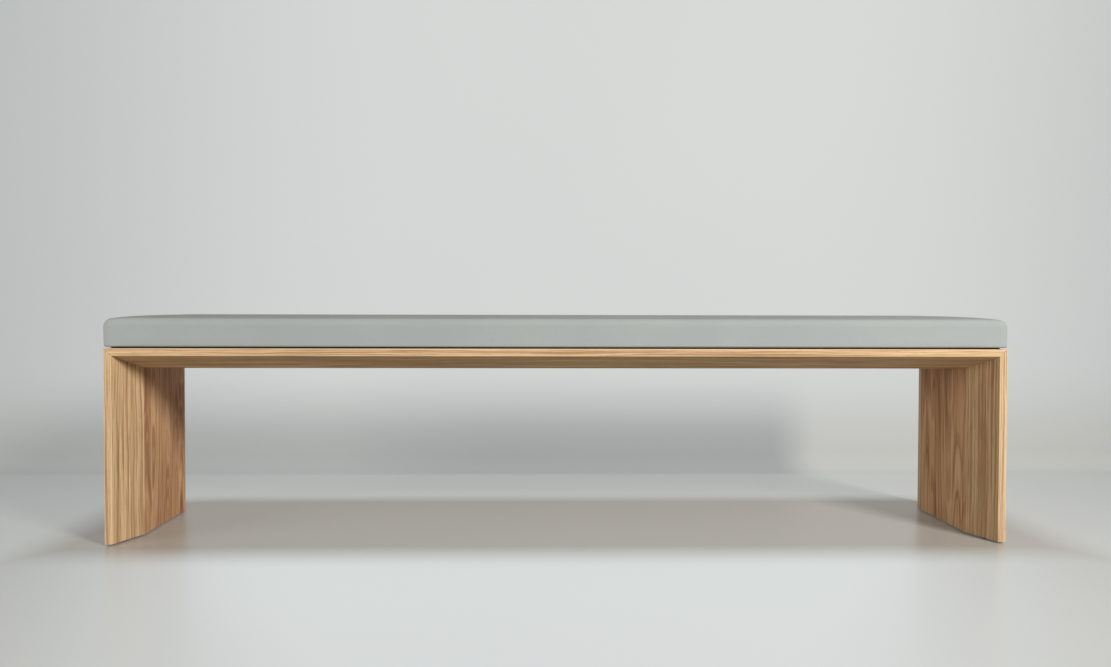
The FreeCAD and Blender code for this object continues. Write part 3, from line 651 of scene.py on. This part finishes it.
def make_stage():
    """Floor, cove and wall as one profile carried along X: a line, a quarter circle and a line."""
    turn = np.linspace(0, math.pi / 2, 12)
    bend_y = WALL_Y - COVE_RADIUS * (1 - np.sin(turn))
    bend_z = COVE_RADIUS * (1 - np.cos(turn))
    profile_y = np.concatenate([[-STAGE_REACH], bend_y, [WALL_Y]])
    profile_z = np.concatenate([[0], bend_z, [STAGE_HEIGHT]])
    xs = np.array([-STAGE_REACH, STAGE_REACH])
    points = np.column_stack([
        np.repeat(xs, len(profile_y)), np.tile(profile_y, 2), np.tile(profile_z, 2),
    ])
    first = np.arange(len(profile_y) - 1)
    other = first + len(profile_y)
    faces = np.column_stack([first, other, other + 1, first + 1])
    sweep = mesh_object("studio_sweep", points, faces)
    sweep.data.materials.append(stage_finish("studio paint"))


def soft_lamp(name, place, target, width, height, power, tint=(1, 1, 1)):
    """A rectangular soft lamp that faces a point."""
    lamp = bpy.data.lights.new(name, "AREA")
    lamp.shape = "RECTANGLE"
    lamp.size = width
    lamp.size_y = height
    lamp.energy = power
    lamp.color = tint
    holder = bpy.data.objects.new(name, lamp)
    holder.location = place
    holder.rotation_euler = (Vector(target) - Vector(place)).to_track_quat("-Z", "Y").to_euler()
    holder.visible_glossy = False
    bpy.context.collection.objects.link(holder)


def make_light():
    """A key lamp from the front right, a strip overhead and a weak fill from the left.

    No lamp is mirrored in the floor. The surround lights the bench faintly, and shows pale behind it.
    """
    soft_lamp("key", (2.3, -3.35, 2.2), (0, 0, 0.3), 0.8, 1.0, 190, (1.0, 0.99, 0.97))
    soft_lamp("overhead", (0, 0.1, 2.6), (0, 0.1, 0), 3.0, 0.5, 2)
    soft_lamp("fill", (-3.0, -1.9, 0.95), (0, 0, 0.3), 1.6, 1.2, 42)
    world = bpy.data.worlds.new("surround")
    world.use_nodes = True
    tree = world.node_tree
    faint = tree.nodes["Background"]
    faint.inputs["Color"].default_value = (1.0, 0.98, 0.95, 1.0)
    faint.inputs["Strength"].default_value = 0.06
    pale = tree.nodes.new("ShaderNodeBackground")
    pale.inputs["Color"].default_value = colour(204, 209, 209)
    paths = tree.nodes.new("ShaderNodeLightPath")
    lit = faint.outputs[0]
    for ray in ("Is Camera Ray", "Is Glossy Ray", "Is Transmission Ray"):
        mix = tree.nodes.new("ShaderNodeMixShader")
        tree.links.new(paths.outputs[ray], mix.inputs[0])
        tree.links.new(lit, mix.inputs[1])
        tree.links.new(pale.outputs[0], mix.inputs[2])
        lit = mix.outputs[0]
    tree.links.new(lit, tree.nodes["World Output"].inputs["Surface"])
    bpy.context.scene.world = world


def make_camera():
    """The camera at the photograph's place: turned to the right, tipped down and rolled a little."""
    lens = bpy.data.cameras.new("camera")
    lens.sensor_fit = "HORIZONTAL"
    lens.sensor_width = 36
    lens.lens = FOCAL_PIXELS * lens.sensor_width / IMAGE_WIDTH
    camera = bpy.data.objects.new("camera", lens)
    turn = Matrix.Rotation(math.radians(-CAMERA_YAW), 4, "Z")
    tip = Matrix.Rotation(math.radians(90 - CAMERA_PITCH), 4, "X")
    roll = Matrix.Rotation(math.radians(CAMERA_ROLL), 4, "Z")
    camera.matrix_world = Matrix.Translation(CAMERA_PLACE) @ turn @ tip @ roll
    bpy.context.collection.objects.link(camera)
    bpy.context.scene.camera = camera


dress_nodes()
make_cushion()
make_stage()
make_light()
make_camera()
bpy.context.scene.view_settings.view_transform = "Standard"
